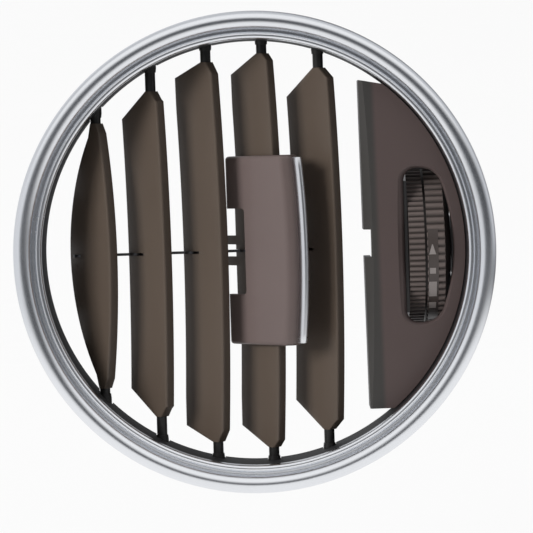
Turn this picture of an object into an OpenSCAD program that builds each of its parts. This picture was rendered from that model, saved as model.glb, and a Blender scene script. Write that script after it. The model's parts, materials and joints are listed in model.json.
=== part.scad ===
/* [Bezel ring] */
// Outside diameter of the bright ring
ring_d = 96; // [90:0.5:110]
// Width of the rounded outer bead
bead_w = 3.6; // [3:0.1:4.5]
// Width of the narrow groove between the two beads
groove_w = 0.5; // [0.3:0.1:0.8]
// Width of the small inner bead
lip_w = 1.4; // [1:0.1:2]
// How far the outer bead stands in front of the seat
bead_h = 6; // [5:0.1:8]
// How far the inner bead stands in front of the seat
lip_h = 4.4; // [3.6:0.1:5]
// Height of the straight flanks under the beads
flank_h = 2.6; // [1.5:0.1:3]
// Depth of the ring's skirt behind the seat
skirt_l = 7; // [6.5:0.1:8]
// Wall of the skirt
skirt_t = 1; // [0.8:0.1:1.4]

/* [Barrel] */
// Depth of the barrel behind the seat
barrel_l = 12.5; // [11.5:0.1:16]
// Wall of the barrel
barrel_t = 2.1; // [1.8:0.1:2.6]
// Bevel of the barrel's rear edge
barrel_bevel = 0.6; // [0.4:0.1:1]
// Depth of the rebate in the ring that takes the barrel's front edge
rebate_d = 0.8; // [0.6:0.1:1.2]
// Width of a window for the dashboard's clips
clip_w = 7; // [5:0.5:9]
// Length of a clip window along the barrel
clip_l = 2.4; // [1.6:0.1:3]
// Distance from a clip window to the rear edge
clip_in = 2; // [1.4:0.1:2.4]
// Width of the keyway in the rear edge
key_w = 4; // [2:0.5:6]
// Depth of the keyway
key_l = 3; // [2:0.5:5]

/* [Vanes] */
// Distance from the opening's left side to the first pivot
first_vane_in = 11.2; // [10.7:0.1:11.7]
// Distance from the last pivot to the panel
last_vane_gap = 7.85; // [7.6:0.05:8.3]
// Depth of the pivots behind the seat
pivot_y = 4; // [3.8:0.1:4.4]
// Turn of the vanes at rest, from straight ahead
rest_turn = 45; // [40:1:45]
// Pivot to nose, at mid height
nose_u = 4.7; // [4.4:0.05:4.9]
// Pivot to tail, at mid height
tail_u = 8.3; // [7.8:0.05:8.6]
// Radius of the bow that the nose follows from end to end
bow_r = 532; // [450:1:700]
// Thickness of a vane at its nose and pivot
vane_t = 2.3; // [2.25:0.05:2.5]
// Thickness of a vane at its tail
tail_t = 1.3; // [1:0.05:1.5]
// Radius of the nose's two edges
nose_edge_r = 0.45; // [0.3:0.05:0.6]
// Diameter of the pivot pins
pin_d = 2.1; // [1.9:0.05:2.2]
// Distance from each tail's corners to the opening's edge, first vane to last
tail_in = [4.75, 9.9, 6, 6.5, 9.1];
// Distance from each nose's shoulders to the opening's edge
shoulder_in = [3.95, 6.7, 5.6, 4.1, 5.7];
// Distance from each neck's end, where the pin begins, to the opening's edge
neck_in = [1.95, 4.6, 3.2, 2.6, 3.6];
// Radius of the first vane's bowed nose
round_nose_r = 150; // [120:5:200]
// Radius of the first vane's curved tail
round_tail_r = 44.3; // [40:0.1:50]
// Pivot to the middle of the first vane's curved tail
round_tail_u = 9; // [8.6:0.05:9.2]

/* [Pivot bushes] */
// Outside diameter of a bush
bush_d = 3.4; // [3.2:0.05:3.6]
// Diameter of a bush's head
bush_head_d = 4.2; // [3.8:0.05:4.6]
// Thickness of a bush's head
bush_head_t = 0.7; // [0.5:0.05:1]
// How far a bush stands into the opening
bush_proud = 0.8; // [0.6:0.05:0.9]

/* [Link strip] */
// Pivot to crank pin
crank_u = 6.2; // [6:0.05:6.3]
// Diameter of the crank pins
crank_d = 1.2; // [1:0.05:1.3]
// Width of the strip
strip_w = 1.6; // [1.4:0.05:1.8]
// Thickness of the strip
strip_t = 0.5; // [0.4:0.05:0.6]
// Diameter of the strip's eyes
eye_d = 2.9; // [2.6:0.05:3]
// Height of the notch in each tail
notch_h = 1.1; // [1:0.05:1.4]
// Pivot to the bottom of the notch
notch_u = 3.4; // [3.2:0.05:3.6]
// Half height of the cut in the fourth tail, behind the knob
cut_z = 9.8; // [9.5:0.1:12]
// Pivot to the bottom of that cut
cut_u = 3; // [2.8:0.05:3.2]
// Height of each of the two lugs left in that cut
lug_h = 1.8; // [1.6:0.05:2]
// Gap between the two lugs
lug_gap = 2.5; // [2.2:0.05:2.8]

/* [Knob] */
// Height of the knob
knob_h = 37.6; // [34:0.2:40]
// How far the knob's middle is above the centre at rest
knob_lift = 0.5; // [0:0.1:1]
// Pivot to the rear edge of the cheeks
knob_rear_u = 8; // [7.7:0.05:8.4]
// Half width of the knob at its rear edge
knob_rear_v = 4; // [3.8:0.05:4.3]
// Pivot to the front edge of the cheeks
cheek_front_u = 7.8; // [7.4:0.05:8.2]
// Half width of the knob at the front edge of the cheeks
cheek_front_v = 2.6; // [2.4:0.05:2.8]
// Pivot to the foot of the bright fin
fin_foot_u = 9.2; // [9:0.05:9.6]
// Pivot to the tip of the bright fin
fin_tip_u = 10.7; // [10.4:0.05:11.2]
// Thickness of the fin
fin_t = 1.8; // [1.5:0.05:2]
// Length of the fin's tongue in the grip
tongue_l = 1.6; // [1.2:0.1:2]
// Thickness of the tongue
tongue_t = 0.9; // [0.7:0.05:1]
// Radius of the bow of the knob's front
knob_bow_r = 146; // [130:1:200]
// Wall of the cheeks
cheek_t = 1.3; // [1:0.05:1.5]
// Thickness of the knob's top and bottom
cap_t = 1.4; // [1:0.05:1.8]
// Half height of the window in each cheek
window_z = 8.7; // [8.6:0.05:9]
// Pivot to the window's front edge, left cheek
left_window_u = 3; // [2.8:0.05:3.2]
// Pivot to the window's front edge, right cheek
right_window_u = 0.8; // [0.6:0.05:1]
// Height of the friction pad
pad_h = 10; // [8:0.5:12]
// Thickness of the friction pad across the vane
pad_w = 1.6; // [1.4:0.05:1.8]
// Depth of the pad's pocket
pad_pocket = 1; // [0.8:0.05:1.2]

/* [Panel] */
// Width of the panel left of the recess
panel_land_w = 8.55; // [8.2:0.05:9]
// How much further right the left edge is at its lower end
panel_slant = 0.55; // [0:0.05:0.8]
// Height of the panel's upper left corner
panel_top = 33.8; // [33:0.1:34.2]
// Fall of the top edge towards the ring, in degrees
top_fall = 11; // [0:1:15]
// Depth of the panel's lower edge below the centre
panel_bottom = 32.4; // [31.5:0.1:33]
// Panel front, in front of the seat, at the opening's centre
panel_front = 0.6; // [0.4:0.05:0.8]
// Depth of the panel's flat back behind the seat
panel_back = 3; // [2.8:0.05:3.2]
// Radius of the front's dome
panel_dome_r = 532; // [450:1:700]
// Width of the bevel along the left edge
bevel_w = 2.6; // [2:0.05:2.8]
// Depth of that bevel
bevel_d = 1.9; // [1.5:0.05:2.1]
// Depth of the panel's side walls behind the seat
wall_y = 8.4; // [8:0.1:9]
// Thickness of the straight walls
wall_t = 1.3; // [1.1:0.05:1.35]
// Thickness of the curved wall along the ring
curved_wall_t = 0.9; // [0.8:0.05:1]
// Distance from the left edge to the foot behind the skirt
foot_in_x = 8; // [7:0.5:9]
// Distance from the top and bottom edges to that foot
foot_in_z = 4; // [3:0.5:5]
// Height of the notch in the left edge
edge_notch_h = 5.5; // [4.5:0.1:7]
// Depth of that notch
edge_notch_w = 1.45; // [1.4:0.01:1.5]
// Middle of that notch above the centre
edge_notch_z = 1; // [0:0.1:2]

/* [Wheel recess] */
// Distance from the opening's edge to the recess's bulged right side
recess_in = 2.6; // [2.5:0.05:2.8]
// Half height of the recess
recess_z = 15.55; // [15.3:0.05:15.8]
// How far the recess's middle is above the centre
recess_lift = 0.25; // [0:0.05:0.4]
// Corner radius at the left
left_corner_r = 2.5; // [2:0.1:3]
// Corner radius at the right
right_corner_r = 4.5; // [3.5:0.1:5]
// Radius of the soft rim
rim_r = 1.4; // [1:0.1:1.5]

/* [Thumbwheel] */
// Diameter of the wheel
wheel_d = 34; // [33.5:0.1:34.4]
// How far the wheel stands in front of the seat
wheel_proud = 0.9; // [0.6:0.05:1.2]
// Gap between the recess's left side and the wheel
left_slack = 0.7; // [0.6:0.05:0.9]
// Gap between the wheel and the recess's right side
right_slack = 0.4; // [0.35:0.05:0.5]
// Width of the left ribbed band
left_band_w = 3.1; // [2.9:0.05:3.3]
// Width of the dark groove
wheel_groove_w = 0.5; // [0.4:0.05:0.6]
// Width of the right ribbed band
right_band_w = 4.9; // [4.7:0.05:5]
// Ribs round a whole turn, left band
left_ribs = 93; // [80:1:100]
// Ribs round a whole turn, right band
right_ribs = 68; // [60:1:76]
// Height of the ribs
rib_h = 0.35; // [0.25:0.05:0.4]
// Width of the bevel on the right edge
shoulder_w = 1.4; // [1.35:0.05:1.6]
// Depth of that bevel
shoulder_d = 4; // [3.8:0.1:4.2]
// Thickness of the flange inside that bevel
flange_t = 1.6; // [1.4:0.1:2]
// Half of the wheel's sector
sector_half = 116; // [112:1:125]
// Thickness of the wheel's rim
wheel_rim_t = 2.4; // [2:0.1:3]
// Thickness of the wheel's web
web_t = 1.6; // [1.4:0.1:2]
// Diameter of the hub
hub_d = 6.4; // [6:0.1:7]
// Distance from the groove to the mark strip
mark_in = 0.2; // [0.1:0.05:0.3]
// Width of the mark strip
mark_w = 2; // [1.8:0.05:2.2]
// Depth of the mark strip's pocket
mark_t = 0.7; // [0.6:0.05:0.9]
// Angle of the mark strip's upper end
mark_top = 12; // [10:1:14]
// Angle of the mark strip's lower end
mark_bottom = -66; // [-70:1:-62]
// Axle to the eye for the flap rod
lever_r = 12; // [11:0.1:13]
// Diameter of the lever's eye
lever_eye_d = 6; // [5.5:0.1:6.5]
// Diameter of the hole for the flap rod
rod_hole_d = 2.5; // [2.2:0.1:2.8]

/* [Wheel bracket] */
// Diameter of the steel axle
axle_d = 3; // [2.8:0.05:3.1]
// Front of the bracket's base behind the seat
base_y = 5; // [4.9:0.05:5.2]
// Thickness of the base
base_t = 1.4; // [1.2:0.05:1.6]
// Half height of the base
base_z = 22; // [21.5:0.1:22.5]
// Left side of the base
base_x = 24; // [23.8:0.1:24.4]
// Thickness of the bracket's cheek
bracket_t = 1.2; // [1:0.05:1.25]
// Thickness of the panel's ear, which holds the axle's right end
ear_t = 1.5; // [1.3:0.05:1.6]
// Gap from a cheek to the wheel's side
side_gap = 0.5; // [0.45:0.05:0.55]
// Diameter of the cheek's end round the axle
cheek_d = 8; // [7.5:0.1:8.5]
// Thickness of the spring washer's metal
washer_t = 0.3; // [0.25:0.05:0.35]
// Outside diameter of the spring washer
washer_d = 5.8; // [5.4:0.1:6]
// Length of a screw under its head
screw_l = 4; // [3.6:0.1:4.4]
// Diameter of the screw shanks
screw_d = 2; // [1.8:0.05:2.2]
// Diameter of the screw heads
screw_head_d = 4; // [3.6:0.1:4.2]
// Height of the screw heads
screw_head_h = 1.3; // [1:0.05:1.6]
// Diameter of the panel's screw bosses
boss_d = 4.4; // [4.2:0.1:4.6]

/* [Fits] */
// Running clearance round pins and shafts, each side
run_gap = 0.05; // [0.03:0.01:0.08]
// Sliding clearance between the knob and its vane, each side
slide_gap = 0.15; // [0.1:0.01:0.2]
// Clearance of the panel in the skirt
panel_gap = 0.2; // [0.15:0.01:0.3]
// Clearance of the barrel's front edge in its rebate
rebate_gap = 0.1; // [0.05:0.01:0.2]

/* [Hidden] */

chrome = [0.78, 0.80, 0.83];
dark_plastic = [0.13, 0.12, 0.12];
vane_brown = [0.33, 0.29, 0.26];
panel_brown = [0.32, 0.28, 0.27];
knob_brown = [0.44, 0.39, 0.38];
wheel_brown = [0.28, 0.25, 0.24];
steel = [0.62, 0.63, 0.65];

ring_r = ring_d / 2;
bead_r0 = ring_r - bead_w;
lip_r1 = bead_r0 - groove_w;
opening_r = lip_r1 - lip_w;
skirt_r = opening_r + skirt_t;
barrel_r = skirt_r + barrel_t;
bead_steps = 14;

clip_angles = [30, 160, 200, 330];
key_angle = 180;

recess_r = opening_r - recess_in;
wheel_r = wheel_d / 2;
wheel_y = wheel_r - wheel_proud;
wheel_x1 = recess_r - right_slack;
right_band_x = wheel_x1 - right_band_w;
groove_x = right_band_x - wheel_groove_w;
wheel_x = groove_x - left_band_w;
recess_x = wheel_x - left_slack;
panel_x = recess_x - panel_land_w;
panel_r = opening_r - panel_gap;
mark_x = right_band_x + mark_in;
cheek_x = wheel_x - side_gap - bracket_t;
ear_x = wheel_x1 + side_gap;
cheek_foot_z = 14;
ear_foot_z = 7;
bury = 0.2;
screw_in = 2.8;
screw_places = [
    [base_x + screw_in, 12], [base_x + screw_in, -12],
    [recess_x + screw_in, base_z - screw_in], [recess_x + screw_in, screw_in - base_z]
];

far = 60;
bow_span = 93;
bow_facet = 2.23;

vane_count = len(tail_in);
vane_half_t = vane_t / 2;
first_vane_x = first_vane_in - opening_r;
vane_pitch = (panel_x - last_vane_gap - first_vane_x) / (vane_count - 1);
taper_u = 1.4;
neck_flare = 0.7;
neck_l = 3;
knob_front = nose_u + slide_gap + 0.3;

rim_front = 0.4;
rim_steps = concat(
    [[-3, rim_r + 0.6], [rim_front - 0.2, rim_r + 0.1]],
    [for (a = [15 : 15 : 90]) [rim_front + rim_r * (1 - cos(a)), rim_r * (1 - sin(a))]],
    [[panel_back + bury, 0]]
);

// Rib outline as shares of the rib's step and height
rib_shape = [[0, 0], [0.3, 1], [0.6, 1]];
rib_root = 0.4;
sector_back = 4;

function vane_x(i) = first_vane_x + i * vane_pitch;

// Place of the panel's left edge at a height
function edge_x(z) = panel_x + panel_slant * (panel_top - z) / (panel_top + panel_bottom);

// Half height on a vane's pivot line that stays a given distance inside the opening
function inside_z(i, inset) = wall_z(opening_r, vane_x(i)) - inset;

function arc(cx, cy, r, a0, a1, n) =
    [for (k = [0 : n]) let (a = a0 + (a1 - a0) * k / n) [cx + r * cos(a), cy + r * sin(a)]];

function dome_arc(cx, base, half_w, rise, n) =
    [for (k = [0 : n]) let (a = 180 * k / n) [cx + half_w * cos(a), base + rise * sin(a)]];

function wall_z(r, x) = sqrt(r * r - x * x);

function mirrored(points) =
    concat(points, [for (k = [len(points) - 1 : -1 : 0]) [points[k][0], -points[k][1]]]);

// Extrudes a shape drawn in x and z from depth y0 to depth y1
module slab(y0, y1) {
    translate([0, y1, 0])
        rotate([90, 0, 0])
            linear_extrude(y1 - y0)
                children();
}

// Turns a profile of radius and height about the vent's axis, height toward the front
module turned(steps = 240) {
    rotate([90, 0, 0])
        rotate_extrude($fn = steps)
            children();
}

// Extrudes a shape drawn in y and z from x0 to x1
module plate_x(x0, x1) {
    translate([x0, 0, 0])
        rotate([90, 0, 90])
            linear_extrude(x1 - x0)
                children();
}

module rod_x(r, x0, x1, y, z, steps = 48) {
    translate([x0, y, z])
        rotate([0, 90, 0])
            cylinder(r = r, h = x1 - x0, $fn = steps);
}

// Sweeps a section of depth and width along a bow that curves back toward top and bottom
module bowed(r_nose, nose) {
    sweep = bow_span / r_nose * 180 / PI;
    translate([0, r_nose - nose, 0])
        rotate([90, 0, -90])
            rotate([0, 0, -sweep / 2])
                rotate_extrude(angle = sweep, $fn = round(2 * PI * r_nose / bow_facet / 3) * 3)
                    translate([r_nose - nose, 0])
                        mirror([1, 0])
                            children();
}

// Places a piece made straight ahead on a vane's pivot, turned to rest
module on_vane(i) {
    translate([vane_x(i), pivot_y, 0])
        rotate([0, 0, rest_turn])
            children();
}

module bezel_ring() {
    color(chrome)
        difference() {
            turned()
                polygon(concat(
                    [[ring_r, 0]],
                    dome_arc(ring_r - bead_w / 2, flank_h, bead_w / 2, bead_h - flank_h, bead_steps),
                    [[bead_r0, flank_h - 0.4], [lip_r1, flank_h - 0.4]],
                    dome_arc(opening_r + lip_w / 2, flank_h, lip_w / 2, lip_h - flank_h, bead_steps),
                    [[opening_r, -skirt_l], [skirt_r, -skirt_l], [skirt_r, rebate_d],
                     [barrel_r + rebate_gap, rebate_d], [barrel_r + rebate_gap, 0]]
                ));
            for (i = [0 : vane_count - 1])
                bush_slot(i);
        }
}

// Slot in the skirt that lets a vane's two bushes in from behind
module bush_slot(i) {
    half = bush_head_d / 2 + 0.1;
    translate([vane_x(i), pivot_y, -far])
        cylinder(r = half, h = 2 * far, $fn = 40);
    translate([vane_x(i) - half, pivot_y, -far])
        cube([2 * half, skirt_l, 2 * far]);
}

// Cut through the barrel's wall at an angle about its axis, from the left and clockwise from there
module wall_cut(angle, width, y0, y1) {
    rotate([0, -angle, 0])
        translate([skirt_r - barrel_t, y0, -width / 2])
            cube([3 * barrel_t, y1 - y0, width]);
}

module barrel() {
    color(dark_plastic)
        difference() {
            turned()
                polygon([[skirt_r, rebate_d], [barrel_r - rebate_d, rebate_d], [barrel_r, 0],
                         [barrel_r, barrel_bevel - barrel_l], [barrel_r - barrel_bevel, -barrel_l],
                         [skirt_r, -barrel_l]]);
            for (a = clip_angles)
                wall_cut(a, clip_w, barrel_l - clip_in - clip_l, barrel_l - clip_in);
            wall_cut(key_angle, key_w, barrel_l - key_l, barrel_l + key_l);
            for (i = [0 : vane_count - 1])
                translate([vane_x(i), pivot_y, -far])
                    cylinder(r = bush_d / 2, h = 2 * far, $fn = 48);
        }
}

// Flanged bush in the barrel wall above a vane
module bush(i) {
    x = vane_x(i);
    z0 = wall_z(opening_r, x) - bush_proud;
    z1 = wall_z(barrel_r, abs(x) + bush_d / 2);
    translate([x, pivot_y, 0])
        difference() {
            union() {
                translate([0, 0, z0])
                    cylinder(r = bush_d / 2, h = z1 - z0, $fn = 48);
                translate([0, 0, z0])
                    cylinder(r = bush_head_d / 2, h = bush_head_t, $fn = 48);
            }
            translate([0, 0, z0 - 1])
                cylinder(r = pin_d / 2 + run_gap, h = z1 - z0 + 2, $fn = 48);
        }
}

module upper_bushes() {
    color(dark_plastic)
        for (i = [0 : vane_count - 1])
            bush(i);
}

module lower_bushes() {
    color(dark_plastic)
        mirror([0, 0, 1])
            for (i = [0 : vane_count - 1])
                bush(i);
}

// Section of a vane, nose at the left, drawn as depth and half thickness
module vane_section() {
    polygon(mirrored(concat(
        [[-nose_u, 0]],
        arc(-nose_u + nose_edge_r, vane_half_t - nose_edge_r, nose_edge_r, 180, 90, 5),
        [[taper_u, vane_half_t]],
        arc(tail_u - tail_t / 2, 0, tail_t / 2, 80, 0, 4)
    )));
}

// Outline of a vane seen from its side, upper half, from nose to tail
function upper_outline(i) = [
    [-2 * nose_u, inside_z(i, shoulder_in[i])],
    [-nose_u + 1.1, inside_z(i, shoulder_in[i])],
    [-pin_d / 2 - 0.1, inside_z(i, neck_in[i])],
    [pin_d / 2 + 0.1, inside_z(i, neck_in[i])]
];

module vane_outline(i) {
    z = inside_z(i, tail_in[i]);
    tail_end = i == 0 ? [[round_tail_u + 2, z]] : [[tail_u + 0.9, z], [tail_u + 0.4, 0]];
    polygon(mirrored(concat(upper_outline(i), tail_end)));
}

// Blade of the first vane, whose nose and tail are both cut to a curve beside the ring
module round_tail_blade() {
    intersection() {
        translate([0, 0, -far / 2])
            linear_extrude(far)
                polygon([[-vane_half_t, -nose_u - 1], [-vane_half_t, taper_u], [-tail_t / 2, round_tail_u + 1],
                         [tail_t / 2, round_tail_u + 1], [vane_half_t, taper_u], [vane_half_t, -nose_u - 1]]);
        rod_x(round_tail_r, -2 * vane_t, 2 * vane_t, round_tail_u - round_tail_r, 0, 360);
        rod_x(round_nose_r, -2 * vane_t, 2 * vane_t, round_nose_r - nose_u + 0.2, 0, 720);
    }
}

// Vane blade with its necks and pivot pins, straight ahead
module plain_vane(i) {
    pin_end = wall_z(barrel_r, abs(vane_x(i)) + bush_d / 2) - 0.3;
    foot = inside_z(i, neck_in[i]) - neck_l;
    intersection() {
        if (i == 0)
            round_tail_blade();
        else
            bowed(bow_r, nose_u)
                vane_section();
        rotate([90, 0, 90])
            linear_extrude(4 * vane_t, center = true)
                vane_outline(i);
    }
    for (up = [0, 1])
        mirror([0, 0, up]) {
            translate([0, 0, foot])
                cylinder(r = pin_d / 2, h = pin_end - foot, $fn = 48);
            translate([0, 0, foot])
                cylinder(r1 = pin_d / 2 + neck_flare, r2 = pin_d / 2, h = 1.2 * neck_l, $fn = 48);
        }
}

module crank_pin(half) {
    translate([0, crank_u, -half])
        cylinder(r = crank_d / 2, h = 2 * half, $fn = 40);
}

// Vane with the notch that the link strip runs through
module notched_vane(i) {
    difference() {
        plain_vane(i);
        translate([-far, notch_u, -notch_h / 2])
            cube([2 * far, far, notch_h]);
    }
    crank_pin(notch_h / 2 + 0.3);
}

module vane_1() color(vane_brown) on_vane(0) notched_vane(0);
module vane_2() color(vane_brown) on_vane(1) notched_vane(1);
module vane_3() color(vane_brown) on_vane(2) notched_vane(2);
module vane_5() color(vane_brown) on_vane(4) notched_vane(4);

// The driving vane, cut away behind the knob but for two lugs that hold its crank pin
module vane_4() {
    color(vane_brown)
        on_vane(3) {
            difference() {
                plain_vane(3);
                translate([-far, cut_u, -cut_z])
                    cube([2 * far, far, cut_z - lug_gap / 2 - lug_h]);
                translate([-far, cut_u, lug_gap / 2 + lug_h])
                    cube([2 * far, far, cut_z - lug_gap / 2 - lug_h]);
                translate([-far, cut_u, -lug_gap / 2])
                    cube([2 * far, far, lug_gap]);
            }
            crank_pin(lug_gap / 2 + 0.3);
        }
}

// Stamped strip with one open eye for each crank pin
module link_strip() {
    eye_dx = -crank_u * sin(rest_turn);
    eye_y = pivot_y + crank_u * cos(rest_turn);
    x0 = vane_x(0) + eye_dx;
    x1 = vane_x(vane_count - 1) + eye_dx;
    color(steel)
        translate([0, eye_y, -strip_t / 2])
            difference() {
                union() {
                    translate([x0, -strip_w / 2, 0])
                        cube([x1 - x0, strip_w, strip_t]);
                    for (i = [0 : vane_count - 1])
                        translate([vane_x(i) + eye_dx, 0, 0])
                            cylinder(r = eye_d / 2, h = strip_t, $fn = 48);
                }
                for (i = [0 : vane_count - 1])
                    translate([vane_x(i) + eye_dx, 0, -1])
                        cylinder(r = crank_d / 2 + run_gap, h = strip_t + 2, $fn = 40);
            }
}

// Outer section of the knob, from the fin's foot to the rear edge
module knob_section() {
    polygon(mirrored([
        [-fin_foot_u, 0],
        [-fin_foot_u, fin_t / 2 + 0.1],
        [-cheek_front_u - 0.5, cheek_front_v - 0.55],
        [-cheek_front_u, cheek_front_v],
        [knob_rear_u + 2, knob_rear_v],
        [knob_rear_u + 2, 0]
    ]));
}

module knob_block() {
    intersection() {
        bowed(knob_bow_r, fin_foot_u)
            knob_section();
        translate([-far, -far, -knob_h / 2])
            cube([2 * far, far + knob_rear_u, knob_h]);
    }
}

// Hollow of the knob between its cheeks
module knob_hollow() {
    slot = vane_half_t + slide_gap;
    inner = knob_h / 2 - cap_t;
    translate([0, 0, -inner])
        linear_extrude(2 * inner)
            polygon([[-slot, -knob_front], [slot, -knob_front], [knob_rear_v - cheek_t, knob_rear_u + 2],
                     [cheek_t - knob_rear_v, knob_rear_u + 2]]);
    translate([-slot, -knob_front, -knob_h])
        cube([2 * slot, far, 2 * knob_h]);
}

module knob_grip() {
    color(knob_brown)
        on_vane(3)
            difference() {
                translate([0, 0, knob_lift])
                    difference() {
                        knob_block();
                        knob_hollow();
                    }
                translate([-far, left_window_u, -window_z])
                    cube([far, far, 2 * window_z]);
                translate([0, right_window_u, -window_z])
                    cube([far, far, 2 * window_z]);
                translate([-pad_w / 2, -knob_front - pad_pocket, -pad_h / 2])
                    cube([pad_w, far, pad_h]);
                translate([0, 0, knob_lift])
                    bowed(knob_bow_r, fin_foot_u)
                        translate([-fin_foot_u - 1, -tongue_t / 2])
                            square([tongue_l + 1, tongue_t]);
            }
}

module knob_fin() {
    color(chrome)
        on_vane(3)
            translate([0, 0, knob_lift])
                intersection() {
                    bowed(knob_bow_r, fin_foot_u)
                        polygon(mirrored(concat(
                            [[-fin_tip_u, 0]],
                            arc(-fin_tip_u + 0.5, fin_t / 2 - 0.5, 0.5, 180, 90, 5),
                            [[-fin_foot_u, fin_t / 2], [-fin_foot_u, tongue_t / 2],
                             [-fin_foot_u + tongue_l, tongue_t / 2], [-fin_foot_u + tongue_l, 0]]
                        )));
                    translate([-far, -far, -knob_h / 2])
                        cube([2 * far, 2 * far, knob_h]);
                }
}

module knob_pad() {
    color(dark_plastic)
        on_vane(3)
            translate([-pad_w / 2, -knob_front - pad_pocket, -pad_h / 2])
                cube([pad_w, knob_front + pad_pocket - nose_u - 0.1, pad_h]);
}

// Recess outline with straight left side and a right side that follows the ring
function recess_outline(o) =
    let (
        rz = recess_z - right_corner_r,
        rx = sqrt(pow(recess_r - right_corner_r, 2) - rz * rz),
        ra = atan2(rz, rx),
        lx = recess_x + left_corner_r,
        lz = recess_z - left_corner_r,
        upper = concat(
            arc(0, 0, recess_r + o, 0, ra, 6),
            [for (k = [1 : 6]) let (a = ra + (90 - ra) * k / 6)
                [rx + (right_corner_r + o) * cos(a), rz + (right_corner_r + o) * sin(a)]],
            arc(lx, lz, left_corner_r + o, 90, 180, 6)
        )
    )
    concat(upper, [for (k = [len(upper) - 1 : -1 : 1]) [upper[k][0], -upper[k][1]]]);

// Solid lofted through the recess outline at a list of depths and offsets
module recess_loft(steps) {
    count = len(recess_outline(0));
    last = len(steps) - 1;
    points = [for (s = steps) for (p = recess_outline(s[1])) [p[0], s[0], p[1] + recess_lift]];
    sides = [for (j = [0 : last - 1]) for (k = [0 : count - 1])
        [j * count + k, j * count + (k + 1) % count, (j + 1) * count + (k + 1) % count, (j + 1) * count + k]];
    first_cap = [for (k = [count - 1 : -1 : 0]) k];
    last_cap = [for (k = [0 : count - 1]) last * count + k];
    polyhedron(points = points, faces = concat(sides, [first_cap, last_cap]), convexity = 4);
}

// Panel outline inside a radius
module panel_outline(r) {
    intersection() {
        circle(r = r, $fn = 240);
        polygon([[edge_x(panel_top), panel_top], [panel_x + far, panel_top - far * tan(top_fall)],
                 [panel_x + far, -panel_bottom], [edge_x(-panel_bottom), -panel_bottom]]);
    }
}

// Domed front plate of the panel
module panel_plate() {
    intersection() {
        turned()
            polygon(concat(
                [[0, -panel_back]],
                [for (k = [0 : 12]) let (r = (panel_r + 1) * k / 12) [r, panel_front - r * r / 2 / panel_dome_r]],
                [[panel_r + 1, -panel_back]]
            ));
        slab(-far, far)
            panel_outline(panel_r);
    }
}

module panel_walls() {
    slab(panel_back - bury, wall_y)
        difference() {
            panel_outline(panel_r);
            intersection() {
                circle(r = panel_r - curved_wall_t, $fn = 240);
                polygon([[edge_x(far) + wall_t, far], [far, far], [far, -far], [edge_x(-far) + wall_t, -far]]);
            }
        }
    slab(skirt_l, wall_y)
        difference() {
            intersection() {
                circle(r = skirt_r - panel_gap, $fn = 240);
                translate([panel_x + foot_in_x, foot_in_z - panel_bottom])
                    square([far, panel_bottom + panel_top - 2 * foot_in_z]);
            }
            circle(r = panel_r - curved_wall_t, $fn = 240);
        }
}

module wheel_panel() {
    color(panel_brown)
        difference() {
            union() {
                panel_plate();
                panel_walls();
                plate_x(ear_x, ear_x + ear_t)
                    cheek_outline(panel_back - bury, ear_foot_z);
                for (p = screw_places)
                    translate([p[0], panel_back - bury, p[1]])
                        rotate([-90, 0, 0])
                            cylinder(r = boss_d / 2, h = base_y - panel_back + bury, $fn = 40);
            }
            recess_loft(rim_steps);
            translate([panel_x - 1, -panel_front - 2, -far])
                linear_extrude(2 * far)
                    polygon([[0, 0], [1 + bevel_w, 0], [1 + bevel_w, 2], [0.9, 2 + bevel_d + 0.5],
                             [0, 2 + bevel_d + 0.5]]);
            translate([panel_x - 1, -far, edge_notch_z - edge_notch_h / 2])
                cube([1 + panel_slant / 2 + edge_notch_w, 2 * far, edge_notch_h]);
            rod_x(axle_d / 2, ear_x - 1, ear_x + ear_t + 1, wheel_y, 0);
            for (p = screw_places)
                translate([p[0], base_y + base_t - screw_l - bury, p[1]])
                    rotate([-90, 0, 0])
                        cylinder(r = screw_d / 2, h = screw_l, $fn = 32);
        }
}

// Bracket screwed behind the panel that holds the axle's left end
module wheel_bracket() {
    rim = panel_r - curved_wall_t - panel_gap;
    color(dark_plastic)
        difference() {
            union() {
                slab(base_y, base_y + base_t)
                    difference() {
                        intersection() {
                            circle(r = rim, $fn = 240);
                            translate([base_x, -base_z])
                                square([wheel_x1 - base_x, 2 * base_z]);
                        }
                        translate([cheek_x + bracket_t, -recess_z])
                            square([far, 2 * recess_z]);
                    }
                plate_x(cheek_x, cheek_x + bracket_t)
                    cheek_outline(base_y, cheek_foot_z);
            }
            rod_x(axle_d / 2, cheek_x - 1, cheek_x + bracket_t + 1, wheel_y, 0);
            for (p = screw_places)
                translate([p[0], base_y - 1, p[1]])
                    rotate([-90, 0, 0])
                        cylinder(r = screw_d / 2 + 0.15, h = 6, $fn = 32);
        }
}

// Cheek drawn in y and z, from its foot to the round end about the axle
module cheek_outline(y0, foot_z) {
    polygon([[y0, -foot_z], [y0, foot_z], [base_y + base_t, foot_z],
             [wheel_y + 1, cheek_d / 2 - 0.2], [wheel_y + 1, 0.2 - cheek_d / 2], [base_y + base_t, -foot_z]]);
    translate([wheel_y, 0])
        circle(r = cheek_d / 2, $fn = 64);
}

module wheel_axle() {
    head = 0.6;
    color(steel) {
        rod_x(axle_d / 2, cheek_x - head / 2, ear_x + ear_t + head / 2, wheel_y, 0);
        rod_x(axle_d / 2 + head, cheek_x - head, cheek_x, wheel_y, 0);
    }
}

// Dished washer that gives the wheel its drag
module spring_washer() {
    gap = side_gap - 0.1;
    bore = axle_d / 2 + 0.1;
    color(steel)
        translate([cheek_x + bracket_t, wheel_y, 0])
            rotate([0, 90, 0])
                rotate_extrude($fn = 64)
                    polygon([[bore, gap - washer_t], [washer_d / 2, 0], [washer_d / 2, washer_t], [bore, gap]]);
}

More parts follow.
